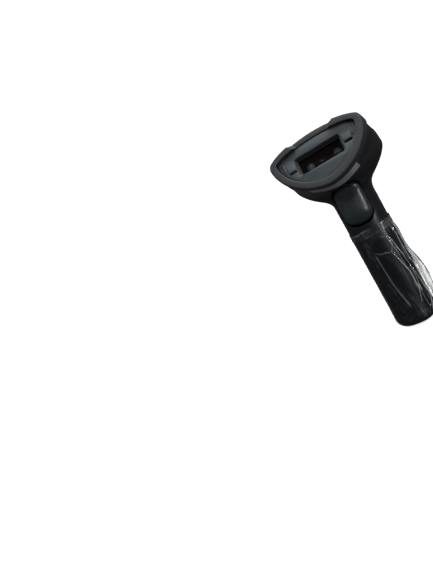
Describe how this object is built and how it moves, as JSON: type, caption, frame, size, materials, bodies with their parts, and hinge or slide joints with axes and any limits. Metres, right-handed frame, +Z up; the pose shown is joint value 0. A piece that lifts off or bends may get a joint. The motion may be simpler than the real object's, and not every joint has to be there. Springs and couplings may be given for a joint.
{
  "type": "handheld barcode scanner",
  "caption": "Cordless handheld barcode scanner: pistol grip, wide D-shaped scan head with a rubber bumper, and a sprung trigger.",
  "frame": {"origin": "centre of the flat end the grip stands on", "axes": "+Z up the grip towards the head; the scan face looks along -Y; +X is across"},
  "size_m": [0.074, 0.077, 0.1667],
  "materials": {
    "housing": "black ABS, very fine mould texture",
    "bumper": "dark grey moulded rubber, matte",
    "face": "dark grey plastic, matte",
    "gasket": "black, matte",
    "window": "dark red-brown filter window, glossy",
    "trigger": "dark grey plastic, satin",
    "label": "blank silver-grey label, satin",
    "steel": "bright steel",
    "black_screw": "blackened steel",
    "board": "green circuit board, semi-gloss",
    "chip": "black moulded chip",
    "connector": "cream plastic",
    "shield": "tinned shield can",
    "button": "red plastic",
    "engine": "black plastic, matte",
    "lens": "coated lens glass",
    "led": "clear and yellow LED resin",
    "light_pipe": "frosted clear acrylic",
    "cell": "blue shrink sleeve over the cell",
    "foam": "black foam",
    "wire": "red wire insulation",
    "cable": "black cable jacket",
    "flat_cable": "white flat flexible cable",
    "film": "clear thin film, glossy and creased"
  },
  "bodies": {
    "housing": {"front_shell": "housing", "rear_shell": "housing", "bumper": "bumper", "face_plate": "face", "window_frame": "gasket", "scan_window": "window", "chin_label": "label", "butt_cap": "housing", "trigger_pin": "steel", "pin_bracket": "chip", "trigger_spring": "steel", "switch_body": "chip", "main_board": "board", "board_chips": "chip", "radio_module": "shield", "buzzer": "chip", "board_connectors": "connector", "board_screws": "steel", "status_led": "led", "status_lens": "light_pipe", "engine_chassis": "engine", "lens_barrel": "engine", "lens_glass": "lens", "aimer_leds": "led", "led_lenses": "light_pipe", "sensor_board": "board", "line_sensor": "chip", "engine_screws": "steel", "ribbon_cable": "flat_cable", "battery": "cell", "battery_pads": "foam", "battery_leads": "wire", "usb_board": "board", "usb_socket": "shield", "usb_harness": "cable", "case_screws": "black_screw", "grip_film": "film", "film_tape": "film"},
    "trigger": {"trigger": "trigger"},
    "switch_button": {"switch_plunger": "button"}
  },
  "joints": [
    {"name": "trigger_pivot", "type": "hinge", "parent": "housing", "child": "trigger", "pos_m": [0, -0.013, 0.116], "axis": [1, 0, 0], "range_deg": [0, 4], "stiffness_Nm_per_rad": 0.3, "springref_deg": -5.73, "deforming": ["trigger_spring"]},
    {"name": "switch_travel", "type": "slide", "parent": "housing", "child": "switch_button", "axis": [0, 1, 0], "range_m": [0, 0.00045]}
  ],
  "couplings": [
    {"joint": "switch_travel", "follows": "trigger_pivot", "m_per_rad": 0.006}
  ]
}
